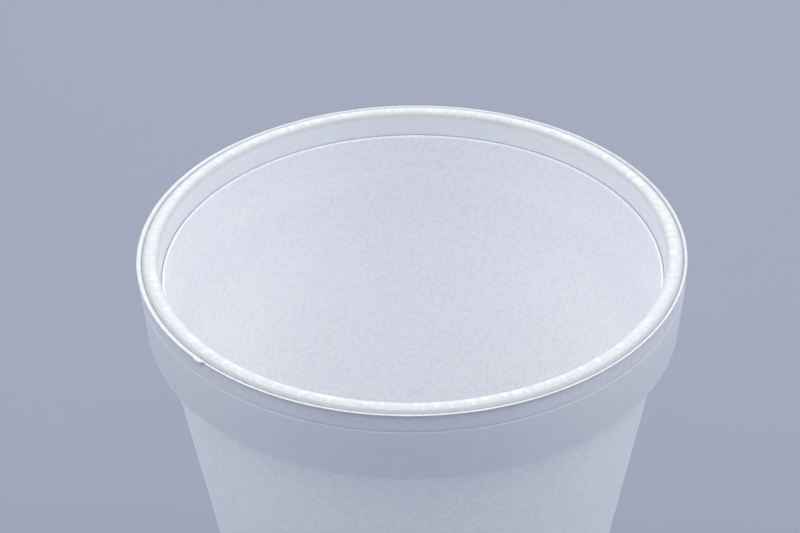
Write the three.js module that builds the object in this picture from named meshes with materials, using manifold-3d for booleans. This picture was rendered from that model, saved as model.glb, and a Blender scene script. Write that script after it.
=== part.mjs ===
// Foam cup, steam-moulded from expanded polystyrene beads. Millimetres, +Z up.
// The cup is one revolved solid: its base rests at Z 0 and its mouth opens upwards.

import * as THREE from 'three';
import { mergeVertices } from 'three/addons/utils/BufferGeometryUtils.js';
import Module from 'manifold-3d';

// Overall form
const cupHeight = 119;
const baseRadius = 28.65;
const bodyDraft = 8.65;
const wall = 2.05;

// Foot and floor
const footWidth = 3.2;
const footOuterRound = 1.1;
const footInnerRound = 0.5;
const recessDepth = 2.4;
const recessDraft = 12;
const recessFillet = 1.2;
const gateRadius = 4;
const gateDepth = 0.4;
const floorThickness = 2.8;
const floorFillet = 3.2;

// Collar: the thick band under the rim, whose lower edge carries the next cup's rim in a stack
const partingDrop = 0.8;
const collarHeight = 13.5;
const collarStep = 2.45;
const collarDraft = 3.6;
const collarUndersideSlope = 10;
const collarEdgeRound = 0.25;
const neckFillet = 0.8;

// Seam groove round the collar, with a band above it that leans in towards the rim
const seamDrop = 3.2;
const seamWidth = 0.56;
const seamDepth = 0.2;
const upperBandDraft = 6;

// Flash: the thin fin where the two halves of the mould meet
const flashThickness = 0.2;
const flashReach = 0.36;
const flashRound = 0.07;
const creaseInset = 0.33;
const creaseWidth = 0.13;
const creaseDepth = 0.25;

// The flash is wider along one side of the rim, and ends there in a small nick
const wideFlashExtra = 0.26;
const wideFlashFrom = 122;
const wideFlashTo = 217;
const wideFlashFadeIn = 22;
const wideFlashFadeOut = 5;
const nickWidth = 1.5;
const nickDepth = 0.5;
const nickOverrun = 1;

// Crown: a steep face up from the flash, a gently domed top and a broad rounding into the mouth
const crownFaceWidth = 0.4;
const crownDomeWidth = 0.47;
const crownDomeRise = 0.25;
const crownTopWidth = 1.9;
const crownEdgeRound = 0.12;
const crownDomeRound = 1.6;
const crownInnerRound = 1.5;

// Inside: a flared mouth, a small ledge, the collar's bore and a soft shoulder into the cone
const mouthDepth = 5.07;
const mouthDraft = 3;
const ledgeWidth = 0.47;
const ledgeDrop = 0.39;
const ledgeGrooveWidth = 0.16;
const ledgeGrooveDepth = 0.24;
const ledgeRound = 0.45;
const shoulderAbove = 2.1;
const shoulderBelow = 1.7;
const shoulderRound = 7;

// How finely the roundings and the revolve are divided
const tinySteps = 1;
const fineSteps = 2;
const softSteps = 3;
const bowlSteps = 5;
const aroundSegments = 84;
const longestTangent = 0.8;
const mergeDistance = 1e-4;
const fullTurn = 360;

const slope = (degrees) => Math.tan(THREE.MathUtils.degToRad(degrees));

// Heights and radii that follow from the dimensions above
const partingZ = cupHeight - partingDrop;
const collarEdgeZ = partingZ - collarHeight;
const bodyRadiusAt = (z) => baseRadius + z * slope(bodyDraft);
const wallAcross = wall / Math.cos(THREE.MathUtils.degToRad(bodyDraft));
const boreRadiusAt = (z) => bodyRadiusAt(z) - wallAcross;

const neckZ = collarEdgeZ - collarStep * slope(collarUndersideSlope);
const collarEdgeRadius = bodyRadiusAt(collarEdgeZ) + collarStep;
const seamZ = partingZ - seamDrop;
const seamRadius = collarEdgeRadius + (seamZ - collarEdgeZ) * slope(collarDraft);
const flashUnderZ = partingZ - flashThickness / 2;
const flashTopZ = partingZ + flashThickness / 2;
const flashRootRadius = seamRadius - (flashUnderZ - seamZ) * slope(upperBandDraft);
const creaseRadius = flashRootRadius - creaseInset;

const crownEdgeRadius = creaseRadius - crownFaceWidth;
const crownTopRadius = crownEdgeRadius - crownDomeWidth;
const crownInnerRadius = crownTopRadius - crownTopWidth;
const ledgeTopZ = cupHeight - mouthDepth;
const ledgeTopRadius = crownInnerRadius - mouthDepth * slope(mouthDraft);
const ledgeEdgeZ = ledgeTopZ - ledgeDrop;
const ledgeEdgeRadius = ledgeTopRadius - ledgeWidth;
const shoulderTopZ = collarEdgeZ + shoulderAbove;
const shoulderTopRadius = ledgeEdgeRadius - (ledgeEdgeZ - shoulderTopZ) * slope(collarDraft);
const shoulderEndZ = collarEdgeZ - shoulderBelow;
const floorTopZ = recessDepth + floorThickness;

// A corner of the profile at radius r and height z, rounded to the given radius in a few steps
function corner(r, z, round = 0, steps = softSteps) {
  return { point: new THREE.Vector2(r, z), round, steps };
}

// The arc that rounds one corner between its two neighbours
function roundedCorner(before, here, after) {
  if (here.round === 0) return [here.point];
  const shorter = Math.min(before.point.distanceTo(here.point), after.point.distanceTo(here.point));
  const toBefore = before.point.clone().sub(here.point).normalize();
  const toAfter = after.point.clone().sub(here.point).normalize();
  const halfAngle = Math.acos(toBefore.dot(toAfter)) / 2;
  const tangent = Math.min(here.round / Math.tan(halfAngle), longestTangent * shorter);
  const radius = tangent * Math.tan(halfAngle);
  const bisector = toBefore.clone().add(toAfter).normalize();
  const centre = here.point.clone().addScaledVector(bisector, radius / Math.sin(halfAngle));
  const start = here.point.clone().addScaledVector(toBefore, tangent).sub(centre);
  const end = here.point.clone().addScaledVector(toAfter, tangent).sub(centre);
  const turn = Math.atan2(start.cross(end), start.dot(end));
  const points = [];
  for (let step = 0; step <= here.steps; step += 1) {
    const angle = start.angle() + turn * (step / here.steps);
    points.push(new THREE.Vector2(Math.cos(angle), Math.sin(angle)).multiplyScalar(radius).add(centre));
  }
  return points;
}

function roundCorners(corners) {
  const last = corners.length - 1;
  return corners.flatMap((here, i) =>
    i === 0 || i === last ? [here.point] : roundedCorner(corners[i - 1], here, corners[i + 1]),
  );
}

// Underside: the bead-filling gate's dimple, the recess and the foot ring
function underside() {
  const recessRadius = baseRadius - footWidth;
  const recessTopRadius = recessRadius - recessDepth * slope(recessDraft);
  return [
    corner(0, recessDepth + gateDepth),
    corner(gateRadius, recessDepth + gateDepth),
    corner(gateRadius, recessDepth),
    corner(recessTopRadius, recessDepth, recessFillet),
    corner(recessRadius, 0, footInnerRound, fineSteps),
  ];
}

// Outer wall: the foot's edge, the plain cone and the neck under the collar
function outerWall() {
  return [
    corner(baseRadius, 0, footOuterRound),
    corner(bodyRadiusAt(neckZ), neckZ, neckFillet),
  ];
}

// Collar: its crisp lower edge, the seam groove and the band above
function collar() {
  const lowerLip = seamRadius - (seamWidth / 2) * slope(collarDraft);
  const upperLip = seamRadius - (seamWidth / 2) * slope(upperBandDraft);
  return [
    corner(collarEdgeRadius, collarEdgeZ, collarEdgeRound, fineSteps),
    corner(lowerLip, seamZ - seamWidth / 2),
    corner(seamRadius - seamDepth, seamZ),
    corner(upperLip, seamZ + seamWidth / 2),
    corner(flashRootRadius, flashUnderZ),
  ];
}

// Flash: a thin fin, with a crease between it and the crown
function flash() {
  const tipRadius = flashRootRadius + flashReach;
  return [
    corner(tipRadius, flashUnderZ, flashRound, tinySteps),
    corner(tipRadius, flashTopZ, flashRound, tinySteps),
    corner(creaseRadius + creaseWidth, flashTopZ),
    corner(creaseRadius, flashTopZ - creaseDepth),
  ];
}

// Crown: the steep face, the domed top and the broad inner rounding
function crown() {
  return [
    corner(crownEdgeRadius, cupHeight - crownDomeRise, crownEdgeRound, tinySteps),
    corner(crownTopRadius, cupHeight, crownDomeRound, fineSteps),
    corner(crownInnerRadius, cupHeight, crownInnerRound, bowlSteps),
  ];
}

// Inside: the ledge with a fine groove at its root, the shoulder, the inner cone and the floor
function inside() {
  return [
    corner(ledgeTopRadius, ledgeTopZ - ledgeGrooveDepth),
    corner(ledgeTopRadius - ledgeGrooveWidth, ledgeTopZ),
    corner(ledgeEdgeRadius, ledgeEdgeZ, ledgeRound, fineSteps),
    corner(shoulderTopRadius, shoulderTopZ, shoulderRound),
    corner(boreRadiusAt(shoulderEndZ), shoulderEndZ, shoulderRound),
    corner(boreRadiusAt(floorTopZ), floorTopZ, floorFillet, bowlSteps),
    corner(0, floorTopZ),
  ];
}

// The lathe turns about Y, so the solid is stood up on Z
function revolveProfile() {
  const corners = [
    ...underside(), ...outerWall(), ...collar(), ...flash(), ...crown(), ...inside(),
  ];
  const geometry = new THREE.LatheGeometry(roundCorners(corners), aroundSegments);
  return geometry.rotateX(Math.PI / 2);
}

// How far the flash stands out beyond its usual reach at an angle round the rim, in degrees from +X
function extraReach(degrees) {
  const { smoothstep } = THREE.MathUtils;
  const fadeIn = smoothstep(degrees, wideFlashFrom, wideFlashFrom + wideFlashFadeIn);
  const fadeOut = smoothstep(degrees, wideFlashTo, wideFlashTo + wideFlashFadeOut);
  return wideFlashExtra * fadeIn * (1 - fadeOut);
}

// Only the points beyond the flash's root move, so the rim itself stays round
function widenFlash(geometry) {
  const position = geometry.getAttribute('position');
  for (let i = 0; i < position.count; i += 1) {
    const x = position.getX(i);
    const y = position.getY(i);
    const radius = Math.hypot(x, y);
    const onFlash = Math.abs(position.getZ(i) - partingZ) < flashThickness;
    if (onFlash && radius > flashRootRadius + flashReach / 2) {
      const degrees = THREE.MathUtils.euclideanModulo(THREE.MathUtils.radToDeg(Math.atan2(y, x)), fullTurn);
      const stretch = 1 + extraReach(degrees) / radius;
      position.setXY(i, x * stretch, y * stretch);
    }
  }
  return geometry;
}

// The nick: a V through the flash at the end of its wide stretch, with its point towards the axis
function nickWedge() {
  const outside = flashRootRadius + flashReach + wideFlashExtra + nickOverrun;
  const point = flashRootRadius + flashReach + wideFlashExtra - nickDepth;
  const flare = ((nickWidth / 2) * (outside - point)) / nickDepth;
  const outline = new THREE.Shape();
  outline.moveTo(point, 0);
  outline.lineTo(outside, -flare);
  outline.lineTo(outside, flare);
  const wedge = new THREE.ExtrudeGeometry(outline, { depth: nickOverrun * 2, bevelEnabled: false });
  wedge.translate(0, 0, partingZ - nickOverrun);
  wedge.rotateZ(THREE.MathUtils.degToRad(wideFlashTo));
  return wedge;
}

const wasm = await Module();
wasm.setup();

function toSolid(geometry) {
  geometry.deleteAttribute('normal');
  geometry.deleteAttribute('uv');
  const merged = mergeVertices(geometry, mergeDistance);
  const mesh = new wasm.Mesh({
    numProp: 3,
    vertProperties: new Float32Array(merged.getAttribute('position').array),
    triVerts: new Uint32Array(merged.getIndex().array),
  });
  return new wasm.Manifold(mesh);
}

function toGeometry(solid) {
  const mesh = solid.getMesh();
  const geometry = new THREE.BufferGeometry();
  geometry.setAttribute('position', new THREE.BufferAttribute(mesh.vertProperties, 3));
  geometry.setIndex(new THREE.BufferAttribute(mesh.triVerts, 1));
  geometry.computeVertexNormals();
  return geometry;
}

function buildCup() {
  const blank = toSolid(widenFlash(revolveProfile()));
  const geometry = toGeometry(blank.subtract(toSolid(nickWedge())));
  const foam = new THREE.MeshStandardMaterial({ color: 0xf2f4f7, roughness: 0.62, metalness: 0 });
  const cup = new THREE.Mesh(geometry, foam);
  cup.name = 'cup';
  return cup;
}

const foamCup = new THREE.Group();
foamCup.name = 'foam_cup';
foamCup.add(buildCup());

export default foamCup;
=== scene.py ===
import math
import bpy
import bmesh
from mathutils import Matrix, Vector, noise


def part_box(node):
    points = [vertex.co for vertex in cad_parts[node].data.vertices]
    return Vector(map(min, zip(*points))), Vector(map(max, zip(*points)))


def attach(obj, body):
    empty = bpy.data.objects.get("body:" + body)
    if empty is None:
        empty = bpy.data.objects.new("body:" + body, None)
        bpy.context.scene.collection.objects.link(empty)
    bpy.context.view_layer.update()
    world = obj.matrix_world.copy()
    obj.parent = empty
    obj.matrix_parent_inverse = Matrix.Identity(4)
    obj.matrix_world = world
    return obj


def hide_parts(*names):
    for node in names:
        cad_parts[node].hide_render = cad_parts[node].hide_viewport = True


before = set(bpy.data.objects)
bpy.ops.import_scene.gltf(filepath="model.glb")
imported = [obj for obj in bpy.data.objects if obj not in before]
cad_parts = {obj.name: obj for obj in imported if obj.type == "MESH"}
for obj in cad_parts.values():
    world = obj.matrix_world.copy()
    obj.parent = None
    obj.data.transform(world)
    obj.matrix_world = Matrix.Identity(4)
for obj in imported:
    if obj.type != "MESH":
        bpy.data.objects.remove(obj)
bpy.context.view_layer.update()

mm = 0.001
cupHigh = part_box("cup")[1]
print("frame loaded, cup is", round(cupHigh[2] / mm, 1), "mm high")


def hexToLinear(hexColour):
    channels = [int(hexColour[i:i + 2], 16) / 255 for i in (1, 3, 5)]
    linear = [c / 12.92 if c <= 0.04045 else ((c + 0.055) / 1.055) ** 2.4 for c in channels]
    return (*linear, 1.0)


def addNode(tree, kind, settings=None, inputs=None, links=None):
    node = tree.nodes.new(kind)
    for name, value in (settings or {}).items():
        setattr(node, name, value)
    for name, value in (inputs or {}).items():
        node.inputs[name].default_value = value
    for name, socket in (links or {}).items():
        tree.links.new(socket, node.inputs[name])
    return node


# the cup's section: lengths in millimetres, drafts and slopes in degrees
cup = {
    "height": cupHigh[2] / mm,
    "tipRadius": cupHigh[1] / mm,       # the flash's edge, away from its wide stretch
    "baseRadius": 28.65,
    "bodyDraft": 8.65,
    "wall": 2.05,
    "roundingShare": 0.8,               # the most of a straight that a rounding may take
    "doublings": 4,                     # the slice is doubled so often until it closes
    "sliceSteps": 48,                   # steps of the spin in the slice
    "mergeDistance": 0.002,
    "sharpAngle": 38,
}
foot = {"width": 3.2, "outerRound": 1.1, "innerRound": 0.5, "recess": 2.4, "recessDraft": 12,
        "recessFillet": 1.2, "gateRadius": 4, "gateDepth": 0.4, "floor": 2.8, "floorFillet": 3.2}
collar = {"partingDrop": 0.6, "height": 13.5, "step": 2.45, "draft": 3.6, "undersideSlope": 10,
          "edgeRound": 0.25, "neckFillet": 0.8, "seamDrop": 3.2, "seamWidth": 0.56,
          "seamDepth": 0.2, "seamEdgeRound": 0.08, "seamRootRound": 0.06, "bandDraft": 6}
flash = {"thickness": 0.2, "reach": 0.34, "round": 0.07, "rootRound": 0.05, "creaseInset": 0.33,
         "creaseWidth": 0.28, "creaseDepth": 0.35, "creaseEdgeRound": 0.03,
         "wideExtra": 0.26, "wideFrom": 122, "wideTo": 224, "fadeIn": 22, "fadeOut": 1,
         "ragged": 0.035, "raggedLength": 2.4, "raggedPlace": (3.1, 7.7),
         "stillShare": 0.3}             # the part of the reach, from the root, that stays in place
crown = {"faceWidth": 0.58, "domeWidth": 0.5, "domeRise": 0.24, "topWidth": 1.88, "edgeRound": 0.2,
         "domeRound": 2.2, "innerRound": 1.5}
mouth = {"depth": 4.87, "draft": 1.0, "ledgeWidth": 0.6, "ledgeDrop": 0.19, "round": 0.22,
         "grooveWidth": 0.16, "grooveDepth": 0.24, "grooveWall": 0.25, "lipRound": 0.03,
         "shoulderAbove": 2.1, "shoulderBelow": 1.7, "shoulderRound": 7}
nick = {"angle": 224.7, "depth": 0.42, "width": 1.0, "tongue": 0.18, "tongueWidth": 2.6,
        "tongueRise": 0.6}
furrow = {"width": 0.62, "length": 2.2, "depth": 0.12, "mean": 0.5, "swing": 0.8, "fadeIn": 0.3,
          "innermost": 40}
bead = {"size": 0.98}
steps = {"fine": 2, "small": 3, "soft": 4, "full": 5, "floor": 7, "mouth": 8}
sharp = (0, 0)


def slope(degrees):
    return math.tan(math.radians(degrees))


partingZ = cup["height"] - collar["partingDrop"]
edgeZ = partingZ - collar["height"]
ledgeTopZ = cup["height"] - mouth["depth"]


def bodyRadius(z):
    return cup["baseRadius"] + z * slope(cup["bodyDraft"])


def boreRadius(z):
    return bodyRadius(z) - cup["wall"] / math.cos(math.radians(cup["bodyDraft"]))


edgeRadius = bodyRadius(edgeZ) + collar["step"]
seamZ = partingZ - collar["seamDrop"]
seamRadius = edgeRadius + (seamZ - edgeZ) * slope(collar["draft"])
flashUnderZ = partingZ - flash["thickness"] / 2
flashTopZ = partingZ + flash["thickness"] / 2
rootRadius = seamRadius - (flashUnderZ - seamZ) * slope(collar["bandDraft"])
creaseRadius = rootRadius - flash["creaseInset"]
crownEdge = creaseRadius - crown["faceWidth"]
crownTop = crownEdge - crown["domeWidth"]
crownInner = crownTop - crown["topWidth"]
ledgeTop = crownInner - mouth["depth"] * slope(mouth["draft"])


# each corner is its radius, its height, how far it is rounded and the steps of the rounding
def sectionCorners():
    recessRadius = cup["baseRadius"] - foot["width"]
    recessTop = recessRadius - foot["recess"] * slope(foot["recessDraft"])
    gateZ = foot["recess"] + foot["gateDepth"]
    floorZ = foot["recess"] + foot["floor"]
    neckZ = edgeZ - collar["step"] * slope(collar["undersideSlope"])
    halfSeam = collar["seamWidth"] / 2
    seamLower = seamRadius - halfSeam * slope(collar["draft"])
    seamUpper = seamRadius - halfSeam * slope(collar["bandDraft"])
    flashTip = rootRadius + flash["reach"]
    ledgeZ = ledgeTopZ - mouth["ledgeDrop"]
    ledge = ledgeTop - mouth["ledgeWidth"]
    grooveWallOut = (mouth["grooveDepth"] + mouth["grooveWall"]) * slope(mouth["draft"])
    shoulderZ = edgeZ + mouth["shoulderAbove"]
    shoulder = ledge - (ledgeZ - shoulderZ) * slope(collar["draft"])
    shoulderEndZ = edgeZ - mouth["shoulderBelow"]
    return [
        (0, gateZ, *sharp),
        (foot["gateRadius"], gateZ, *sharp),
        (foot["gateRadius"], foot["recess"], *sharp),
        (recessTop, foot["recess"], foot["recessFillet"], steps["soft"]),
        (recessRadius, 0, foot["innerRound"], steps["small"]),
        (cup["baseRadius"], 0, foot["outerRound"], steps["full"]),
        (bodyRadius(neckZ), neckZ, collar["neckFillet"], steps["full"]),
        (edgeRadius, edgeZ, collar["edgeRound"], steps["small"]),
        (seamLower, seamZ - halfSeam, collar["seamEdgeRound"], steps["fine"]),
        (seamRadius - collar["seamDepth"], seamZ, collar["seamRootRound"], steps["fine"]),
        (seamUpper, seamZ + halfSeam, collar["seamEdgeRound"], steps["fine"]),
        (rootRadius, flashUnderZ, flash["rootRound"], steps["fine"]),
        (flashTip, flashUnderZ, flash["round"], steps["fine"]),
        (flashTip, flashTopZ, flash["round"], steps["fine"]),
        (creaseRadius + flash["creaseWidth"], flashTopZ, flash["creaseEdgeRound"], steps["fine"]),
        (creaseRadius, flashTopZ - flash["creaseDepth"], *sharp),
        (crownEdge, cup["height"] - crown["domeRise"], crown["edgeRound"], steps["fine"]),
        (crownTop, cup["height"], crown["domeRound"], steps["soft"]),
        (crownInner, cup["height"], crown["innerRound"], steps["mouth"]),
        (ledgeTop + grooveWallOut, ledgeTopZ + mouth["grooveWall"], *sharp),
        (ledgeTop, ledgeTopZ - mouth["grooveDepth"], *sharp),
        (ledgeTop - mouth["grooveWidth"], ledgeTopZ, mouth["lipRound"], steps["fine"]),
        (ledge, ledgeZ, mouth["round"], steps["small"]),
        (shoulder, shoulderZ, mouth["shoulderRound"], steps["full"]),
        (boreRadius(shoulderEndZ), shoulderEndZ, mouth["shoulderRound"], steps["full"]),
        (boreRadius(floorZ), floorZ, foot["floorFillet"], steps["floor"]),
        (0, floorZ, *sharp),
    ]


def drawSection(mesh, corners):
    points = [Vector((radius * mm, 0, z * mm)) for radius, z, rounding, count in corners]
    verts = [mesh.verts.new(point) for point in points]
    for pair in zip(verts, verts[1:]):
        mesh.edges.new(pair)
    for before, here, after, corner in zip(points, points[1:], points[2:], corners[1:]):
        rounding, count = corner[2:]
        if count:
            wanted = rounding * mm / math.tan((before - here).angle(after - here) / 2)
            room = cup["roundingShare"] * min((before - here).length, (after - here).length)
            vert = min(mesh.verts, key=lambda v: (v.co - here).length)
            bmesh.ops.bevel(mesh, geom=[vert], offset=min(wanted, room), offset_type="OFFSET",
                            segments=count, profile=0.5, affect="VERTICES", material=-1)


# how far apart the rings of faces lie: fine over the crown, for its furrows, and round the ledge
rings = {"crown": bead["size"] / 3, "ledge": 0.14, "ledgeReach": 0.5, "ledgeInset": 1,
         "rim": 1.3, "rimReach": 6, "body": 16}


def ringSpacing(edge):
    middle = (edge.verts[0].co + edge.verts[1].co) / 2 / mm
    inside = middle.x < seamRadius - rings["ledgeInset"]
    if middle.z > partingZ:
        return rings["crown"]
    if inside and abs(middle.z - ledgeTopZ) < rings["ledgeReach"]:
        return rings["ledge"]
    return rings["rim"] if middle.z > partingZ - rings["rimReach"] else rings["body"]


def cutLongEdges(mesh):
    longEdges = mesh.edges[:]
    while longEdges:
        longEdges = [edge for edge in mesh.edges if edge.calc_length() > ringSpacing(edge) * mm]
        bmesh.ops.subdivide_edges(mesh, edges=longEdges, cuts=1)


def spinSection(mesh):
    # one slice is spun, then the mesh is doubled until it closes
    span = math.tau / 2 ** cup["doublings"]
    bmesh.ops.spin(mesh, geom=mesh.verts[:] + mesh.edges[:], cent=(0, 0, 0), axis=(0, 0, 1),
                   dvec=(0, 0, 0), angle=span, steps=cup["sliceSteps"])
    for doubling in range(cup["doublings"]):
        twin = bmesh.ops.duplicate(mesh, geom=mesh.verts[:] + mesh.edges[:] + mesh.faces[:])
        twinVerts = [item for item in twin["geom"] if isinstance(item, bmesh.types.BMVert)]
        bmesh.ops.rotate(mesh, verts=twinVerts, cent=(0, 0, 0), matrix=Matrix.Rotation(span, 3, "Z"))
        span *= 2
    bmesh.ops.remove_doubles(mesh, verts=mesh.verts[:], dist=cup["mergeDistance"] * mm)
    bmesh.ops.recalc_face_normals(mesh, faces=mesh.faces[:])


def fade(value, start, end):
    t = min(max((value - start) / (end - start), 0), 1)
    return t * t * (3 - 2 * t)


def flashReach(degrees):
    # wider along the left, ragged all round, with a torn tongue and a nick at the wide stretch's end
    wide = fade(degrees, flash["wideFrom"], flash["wideFrom"] + flash["fadeIn"])
    wide *= 1 - fade(degrees, flash["wideTo"], flash["wideTo"] + flash["fadeOut"])
    along = math.radians(degrees) * cup["tipRadius"]
    ragged = noise.noise(Vector((along / flash["raggedLength"], *flash["raggedPlace"])))
    fromNick = math.radians(degrees - nick["angle"]) * cup["tipRadius"]
    notch = max(0, 1 - abs(fromNick) / (nick["width"] / 2))
    tongueEnd = -nick["tongueWidth"] * nick["tongueRise"]
    tongue = fade(fromNick, -nick["tongueWidth"], tongueEnd) * (fromNick < 0)
    return (wide * flash["wideExtra"] + ragged * flash["ragged"] - flash["ragged"]
            + tongue * nick["tongue"] - notch * nick["depth"])


def shapeFlash(mesh):
    for vert in mesh.verts:
        radius = vert.co.xy.length / mm
        onFlash = abs(vert.co.z / mm - partingZ) < flash["thickness"]
        if onFlash and radius > rootRadius + flash["stillShare"] * flash["reach"]:
            degrees = math.degrees(math.atan2(vert.co.y, vert.co.x)) % 360
            share = (radius - rootRadius) / flash["reach"]
            scale = 1 + flashReach(degrees) * share / radius
            vert.co.x *= scale
            vert.co.y *= scale


def furrowShare(along, across):
    wave = noise.noise(Vector((along, across, 0)))
    return min(max(furrow["mean"] + furrow["swing"] * wave, 0), 1)


def shapeCrown(mesh):
    # the flattened beads leave fine radial furrows over the crown, and painted shade darkens the colour in
    # them
    lowest = partingZ + flash["thickness"]
    rim = mesh.verts.layers.float["rimPaintedShade"]
    for vert in mesh.verts:
        z = vert.co.z / mm
        radius = vert.co.xy.length / mm
        if z > lowest and radius > furrow["innermost"]:
            along = math.atan2(vert.co.y, vert.co.x) * rootRadius / furrow["width"]
            across = (radius - z) / furrow["length"]
            dip = furrowShare(along, across)
            vert.co -= vert.normal * dip * furrow["depth"] * mm * fade(z, lowest, lowest + furrow["fadeIn"])
            # painted shade: the rim's colour darkens further where the furrow dips
            vert[rim] *= 1 - furrow["mean"] + dip


def makeObject(name, mesh, material):
    data = bpy.data.meshes.new(name)
    mesh.to_mesh(data)
    mesh.free()
    data.materials.append(material)
    piece = bpy.data.objects.new(name, data)
    bpy.context.scene.collection.objects.link(piece)
    return piece


foamLook = {
    "light": "#FFFFFF",
    "dark": "#F6F7F8",
    # the rim and groove tints below are painted shade
    "rim": "#DBDBD8",
    "groove": "#C2C6CE",
    "roughness": 0.5,
    "ior": 1.5,
    "throughWall": 0.2,                 # share of the light that passes
    "throughCollar": 0.05,
    "soften": 0.4,
    "softenDistance": 0.6,
    "relief": 0.4,
    "reliefDepth": 0.05,
    "borderFrom": 0.25,                 # distances from a bead's centre, as shares of its size
    "borderTo": 0.85,
    "wobble": 0.3,
    "wobbleScale": 0.7,
    "wobbleDetail": 1,
    "cloudSize": 11,
    "cloudShare": 0.25,
    "cloudDetail": 2,
    "middle": 0.5,
}
# the colour sockets of a mix node
mixFirst = 6
mixSecond = 7
mixResult = 2


def tintBy(tree, attribute, colour, tint):
    # multiplies the colour by the tint, as far as the attribute says
    amount = addNode(tree, "ShaderNodeAttribute", {"attribute_name": attribute})
    mix = addNode(tree, "ShaderNodeMix", {"data_type": "RGBA", "blend_type": "MULTIPLY"},
                  {mixSecond: hexToLinear(tint)}, {0: amount.outputs["Fac"], mixFirst: colour})
    return mix.outputs[mixResult]


def expandedPolystyrene():
    # steam-moulded beads: a satin white skin of flattened cells about a millimetre across. Inside the
    # cup their borders look darker, outside the light that comes through makes the borders lighter
    material = bpy.data.materials.new("expanded polystyrene, steam-moulded beads")
    material.use_nodes = True
    tree = material.node_tree
    shader = tree.nodes["Principled BSDF"]
    place = addNode(tree, "ShaderNodeTexCoord").outputs["Object"]
    cellScale = 1 / (bead["size"] * mm)
    wobbleScale = cellScale * foamLook["wobbleScale"]
    wobbleReach = foamLook["wobble"] * bead["size"] * mm
    wobble = addNode(tree, "ShaderNodeTexNoise",
                     inputs={"Scale": wobbleScale, "Detail": foamLook["wobbleDetail"]},
                     links={"Vector": place})
    shifted = addNode(tree, "ShaderNodeVectorMath", {"operation": "MULTIPLY_ADD"},
                      {1: (wobbleReach, wobbleReach, wobbleReach)}, {0: wobble.outputs["Color"], 2: place})
    cells = addNode(tree, "ShaderNodeTexVoronoi", inputs={"Scale": cellScale},
                    links={"Vector": shifted.outputs[0]})
    border = addNode(tree, "ShaderNodeMapRange", {"interpolation_type": "SMOOTHSTEP"},
                     {"From Min": foamLook["borderFrom"], "From Max": foamLook["borderTo"]},
                     {"Value": cells.outputs["Distance"]})
    cloud = addNode(tree, "ShaderNodeTexNoise",
                    inputs={"Scale": 1 / (foamLook["cloudSize"] * mm), "Detail": foamLook["cloudDetail"]},
                    links={"Vector": place})
    # beadTone runs from -1, dark borders, over 0, no pattern, to 1, light borders
    tone = addNode(tree, "ShaderNodeAttribute", {"attribute_name": "beadTone"})
    centred = addNode(tree, "ShaderNodeMath", {"operation": "SUBTRACT"}, {1: foamLook["middle"]},
                      {0: border.outputs[0]})
    pattern = addNode(tree, "ShaderNodeMath", {"operation": "MULTIPLY"},
                      links={0: centred.outputs[0], 1: tone.outputs["Fac"]})
    clouded = addNode(tree, "ShaderNodeMath", {"operation": "MULTIPLY_ADD"}, {1: foamLook["cloudShare"]},
                      {0: cloud.outputs["Fac"], 2: pattern.outputs[0]})
    lifted = addNode(tree, "ShaderNodeMath", {"operation": "ADD"},
                     {1: foamLook["middle"] - foamLook["cloudShare"] / 2}, {0: clouded.outputs[0]})
    skin = addNode(tree, "ShaderNodeMix", {"data_type": "RGBA"},
                   {mixFirst: hexToLinear(foamLook["dark"]), mixSecond: hexToLinear(foamLook["light"])},
                   {0: lifted.outputs[0]}).outputs[mixResult]
    # painted shade: the rim's colour is darkened a little, to hold its brightly lit top below white, and
    # more in its furrows
    coat = tintBy(tree, "rimPaintedShade", skin, foamLook["rim"])
    # painted shade darkens the colour in the two narrow grooves, where shadow falls
    coat = tintBy(tree, "groovePaintedShade", coat, foamLook["groove"])
    tree.links.new(coat, shader.inputs["Base Color"])
    bump = addNode(tree, "ShaderNodeBump", {"invert": True},
                   {"Strength": foamLook["relief"], "Distance": foamLook["reliefDepth"] * mm},
                   {"Height": border.outputs[0]})
    tree.links.new(bump.outputs["Normal"], shader.inputs["Normal"])
    shader.inputs["Roughness"].default_value = foamLook["roughness"]
    shader.inputs["IOR"].default_value = foamLook["ior"]
    shader.inputs["Subsurface Weight"].default_value = foamLook["soften"]
    shader.inputs["Subsurface Radius"].default_value = (1.0, 1.0, 1.0)
    shader.inputs["Subsurface Scale"].default_value = foamLook["softenDistance"] * mm
    # light passes through the wall to its other face, more through the thin body than the collar
    passing = addNode(tree, "ShaderNodeAttribute", {"attribute_name": "passingLight"})
    through = addNode(tree, "ShaderNodeBsdfTranslucent", links={"Color": skin})
    wallShader = addNode(tree, "ShaderNodeMixShader",
                         links={0: passing.outputs["Fac"], 1: shader.outputs[0], 2: through.outputs[0]})
    side = addNode(tree, "ShaderNodeNewGeometry")
    clear = addNode(tree, "ShaderNodeBsdfTransparent")
    whole = addNode(tree, "ShaderNodeMixShader",
                    links={0: side.outputs["Backfacing"], 1: wallShader.outputs[0], 2: clear.outputs[0]})
    tree.links.new(whole.outputs[0], tree.nodes["Material Output"].inputs["Surface"])
    return material


tones = {"inside": -1.0, "mouth": -0.5, "body": 1.0, "collar": 0.25, "underFlash": 0.6,
         "fadeFrom": 2.4, "fadeTo": 1.2}


def beadTone(point):
    z = point.z / mm
    radius = point.xy.length / mm
    outside = radius > bodyRadius(z) - cup["wall"] / 2 and z < flashTopZ
    if not outside:
        return tones["mouth"] if z > ledgeTopZ else tones["inside"]
    if z < edgeZ:
        return tones["body"]
    nearFlash = fade(z, flashUnderZ - tones["fadeFrom"], flashUnderZ - tones["fadeTo"])
    return tones["collar"] + tones["underFlash"] * nearFlash


# the wall thickens over the neck, and lets no light through at the rim and the foot
walls = {"neckReach": 1.2, "rimReach": 2.5, "footReach": 8}


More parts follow.
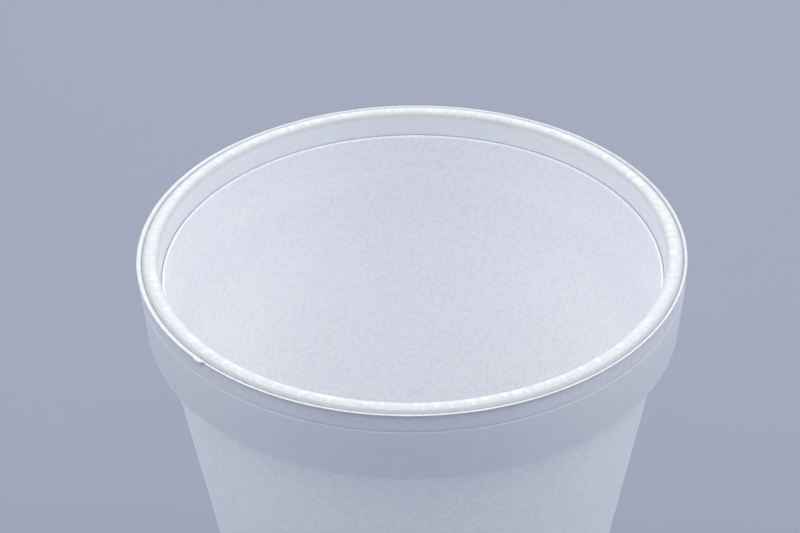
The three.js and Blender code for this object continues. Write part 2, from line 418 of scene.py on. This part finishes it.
def passingLight(point):
    z = point.z / mm
    thin = 1 - fade(z, edgeZ - walls["neckReach"], edgeZ + walls["neckReach"])
    solid = fade(z, flashUnderZ - walls["rimReach"], flashUnderZ) + 1 - fade(z, 0, walls["footReach"])
    share = foamLook["throughCollar"] + thin * (foamLook["throughWall"] - foamLook["throughCollar"])
    return share * (1 - min(solid, 1))


# how far below the top the rim's painted shade starts and is full, and how far the painted shade in the
# grooves reaches
skins = {"rimShadeStart": 1.6, "rimShadeFull": 0.5, "grooveShadeFull": 0.12, "grooveShadeEnd": 0.42}


# painted shade: full over the top of the rim, fading out below it, none on the band outside the flash's
# root
def rimPaintedShade(point):
    z = point.z / mm
    onBand = point.xy.length / mm > rootRadius and z < flashUnderZ
    return 0 if onBand else fade(z, cup["height"] - skins["rimShadeStart"], cup["height"] - skins["rimShadeFull"])


# painted shade: full at the roots of the ledge groove and the crease, fading out within a few tenths of a
# millimetre
def groovePaintedShade(point):
    place = Vector((point.xy.length, point.z)) / mm
    ledgeRoot = Vector((ledgeTop, ledgeTopZ - mouth["grooveDepth"]))
    creaseRoot = Vector((creaseRadius, flashTopZ - flash["creaseDepth"]))
    nearest = min((place - ledgeRoot).length, (place - creaseRoot).length)
    return 1 - fade(nearest, skins["grooveShadeFull"], skins["grooveShadeEnd"])


def paintWall(mesh):
    tone = mesh.verts.layers.float.new("beadTone")
    passing = mesh.verts.layers.float.new("passingLight")
    rim = mesh.verts.layers.float.new("rimPaintedShade")
    grooveShadeLayer = mesh.verts.layers.float.new("groovePaintedShade")
    for vert in mesh.verts:
        vert[tone] = beadTone(vert.co)
        vert[passing] = passingLight(vert.co)
        vert[rim] = rimPaintedShade(vert.co)
        vert[grooveShadeLayer] = groovePaintedShade(vert.co)


def makeCup():
    mesh = bmesh.new()
    drawSection(mesh, sectionCorners())
    cutLongEdges(mesh)
    spinSection(mesh)
    mesh.normal_update()
    paintWall(mesh)
    shapeFlash(mesh)
    shapeCrown(mesh)
    for face in mesh.faces:
        face.smooth = True
    piece = makeObject("moulded_cup", mesh, expandedPolystyrene())
    piece.data.set_sharp_from_angle(angle=math.radians(cup["sharpAngle"]))
    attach(piece, "root")
    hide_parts("cup")
    return piece


cupPiece = makeCup()
print("cup moulded,", len(cupPiece.data.polygons), "faces")

studio = {"floorColour": "#9499A4", "floorSize": 8, "floorRoughness": 0.9, "floorSheen": 0.2,
          "ambientColour": "#BCD0FF", "ambientStrength": 0.286}


def makeFloor():
    # matt paper, which takes the soft light evenly and shows no shine
    mesh = bmesh.new()
    bmesh.ops.create_grid(mesh, x_segments=1, y_segments=1, size=studio["floorSize"] / 2)
    material = bpy.data.materials.new("matt paper backdrop")
    material.use_nodes = True
    shader = material.node_tree.nodes["Principled BSDF"]
    shader.inputs["Base Color"].default_value = hexToLinear(studio["floorColour"])
    shader.inputs["Roughness"].default_value = studio["floorRoughness"]
    shader.inputs["Specular IOR Level"].default_value = studio["floorSheen"]
    floor = makeObject("floor", mesh, material)


makeFloor()
print("floor laid")

# softboxes: size and place in metres, all turned to the cup's mouth
lamps = {
    "overhead": {"size": (1.8, 1.8), "place": (0.0, 0.0, 1.2), "watts": 12.9, "colour": "#FFFFFF"},
    "behind": {"size": (1.2, 0.7), "place": (0.0, 1.1, 0.9), "watts": 7.6, "colour": "#FFFFFF"},
    "left": {"size": (0.8, 0.8), "place": (-1.0, 0.0, 0.9), "watts": 3.8, "colour": "#FFFFFF"},
    "right": {"size": (0.8, 0.8), "place": (1.0, 0.0, 0.9), "watts": 4.9, "colour": "#FFFFFF"},
}


def lightStudio():
    aim = Vector((0, 0, cupHigh[2]))
    for name, lamp in lamps.items():
        light = bpy.data.lights.new(name, "AREA")
        light.shape = "RECTANGLE"
        light.size, light.size_y = lamp["size"]
        light.energy = lamp["watts"]
        light.color = hexToLinear(lamp["colour"])[:3]
        softbox = bpy.data.objects.new(name, light)
        softbox.location = lamp["place"]
        softbox.rotation_euler = (aim - softbox.location).to_track_quat("-Z", "Y").to_euler()
        bpy.context.scene.collection.objects.link(softbox)
    world = bpy.data.worlds.new("studio")
    bpy.context.scene.world = world
    world.use_nodes = True
    background = world.node_tree.nodes["Background"]
    background.inputs["Color"].default_value = hexToLinear(studio["ambientColour"])
    background.inputs["Strength"].default_value = studio["ambientStrength"]


lightStudio()
bpy.context.scene.view_settings.view_transform = "Standard"
print("studio lit")

# a long lens, looking down into the mouth: place, lens and sensor in mm, turn in degrees, near in metres
shot = {"place": (0, -289.0, 314.45), "turn": (55.2, 0.707, -0.057), "lens": 90, "sensor": 36,
        "near": 0.01}


def placeCamera():
    camera = bpy.data.cameras.new("camera")
    camera.lens = shot["lens"]
    camera.sensor_width = shot["sensor"]
    camera.clip_start = shot["near"]
    holder = bpy.data.objects.new("camera", camera)
    holder.location = Vector(shot["place"]) * mm
    holder.rotation_euler = [math.radians(angle) for angle in shot["turn"]]
    bpy.context.scene.collection.objects.link(holder)
    bpy.context.scene.camera = holder


placeCamera()
print("camera placed")
